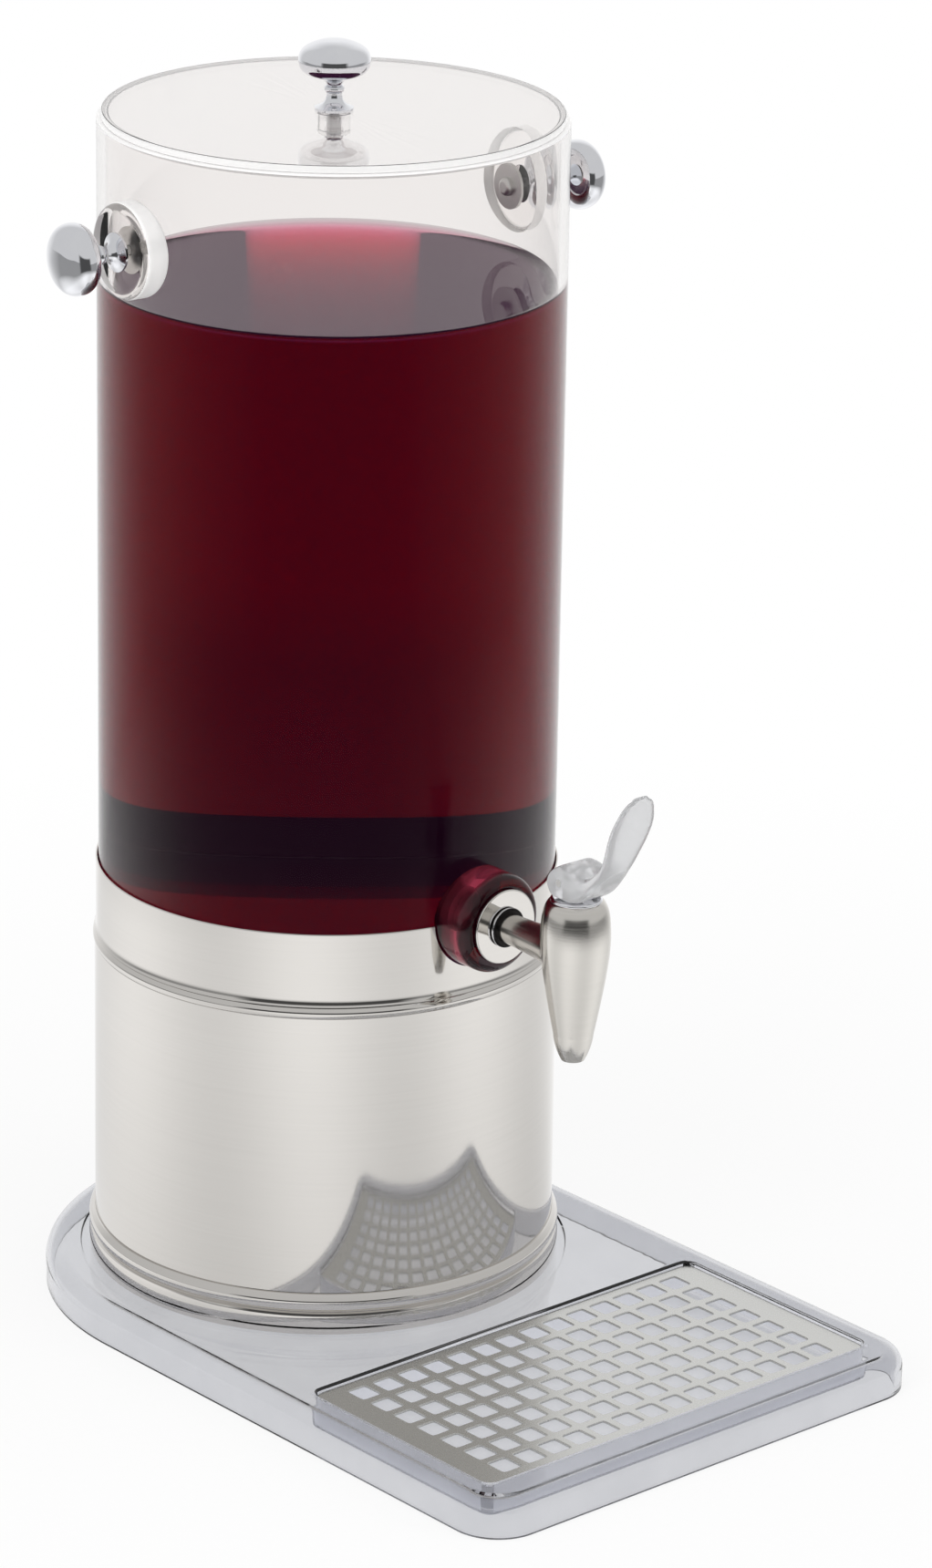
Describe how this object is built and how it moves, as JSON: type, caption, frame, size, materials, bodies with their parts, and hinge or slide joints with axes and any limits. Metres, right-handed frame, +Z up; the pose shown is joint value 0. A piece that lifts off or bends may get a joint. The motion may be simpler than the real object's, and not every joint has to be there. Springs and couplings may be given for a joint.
{
  "type": "juice dispenser",
  "caption": "Buffet juice dispenser: a clear lidded cylinder with side knobs and a lever tap, seated in a polished drum on a clear drip tray with a lift-out grid.",
  "frame": {"origin": "on the table, under the middle of the base tray's length and width", "axes": "+Z up, -Y towards the front where the tap and the drip grid are, +X to the right seen from the front"},
  "size_m": [0.2784, 0.38, 0.5642],
  "materials": {
    "clear_acrylic": "cast or moulded clear plastic, polished",
    "polished_steel": "mirror-polished stainless sheet",
    "plain_steel": "plain stainless, as machined",
    "chrome": "bright chrome plating",
    "satin_steel": "fine satin over a cast body",
    "frosted_plastic": "frosted translucent moulding",
    "silicone": "translucent silicone",
    "cold_pack_plastic": "blow-moulded polyethylene"
  },
  "bodies": {
    "base": {"base_tray": "clear_acrylic", "drip_tub": "clear_acrylic", "drum_shell": "polished_steel", "drum_floor": "plain_steel", "plinth_ring": "polished_steel", "drum_nuts": "plain_steel", "base_screws": "plain_steel", "collar_ring": "polished_steel", "seat_gasket": "silicone", "cold_pack": "cold_pack_plastic", "pack_plug": "cold_pack_plastic"},
    "grid": {"drip_grid": "polished_steel"},
    "container": {"container_tube": "clear_acrylic", "container_floor": "clear_acrylic", "handle_boss_left": "clear_acrylic", "handle_boss_right": "clear_acrylic", "handle_knob_left": "chrome", "handle_knob_right": "chrome", "handle_washers": "plain_steel", "handle_screws": "plain_steel", "tap_boss": "clear_acrylic", "tap_shank": "plain_steel", "tap_outer_seal": "silicone", "tap_flange": "polished_steel", "tap_ferrule": "chrome", "tap_inner_seal": "silicone", "tap_nut": "plain_steel", "tap_body": "satin_steel", "spout_tip": "satin_steel", "tap_bonnet": "chrome", "bonnet_oring": "silicone", "return_spring": "plain_steel"},
    "lid": {"lid_disc": "clear_acrylic", "lid_centring_disc": "clear_acrylic", "lid_spacer": "clear_acrylic", "lid_screw": "plain_steel", "lid_knob": "chrome"},
    "valve": {"valve_stem": "plain_steel", "seat_cup": "silicone", "lever_pin": "plain_steel"},
    "lever": {"tap_lever": "frosted_plastic"}
  },
  "joints": [
    {"name": "grid_lift", "type": "slide", "parent": "base", "child": "grid", "axis": [0, 0, 1], "range_m": [0, 0.04]},
    {"name": "container_lift", "type": "slide", "parent": "base", "child": "container", "axis": [0, 0, 1], "range_m": [0, 0.08]},
    {"name": "lid_lift", "type": "slide", "parent": "container", "child": "lid", "axis": [0, 0, 1], "range_m": [0, 0.06]},
    {"name": "stem_lift", "type": "slide", "parent": "container", "child": "valve", "axis": [0, 0, 1], "range_m": [0, 0.004], "stiffness_N_per_m": 300, "springref_m": -0.003, "deforming": ["return_spring"]},
    {"name": "lever_pull", "type": "hinge", "parent": "valve", "child": "lever", "pos_m": [0, -0.0964, 0.2366], "axis": [1, 0, 0], "range_deg": [0, 42]}
  ],
  "couplings": [
    {"joint": "lever_pull", "follows": "stem_lift", "rad_per_m": 174.53}
  ]
}
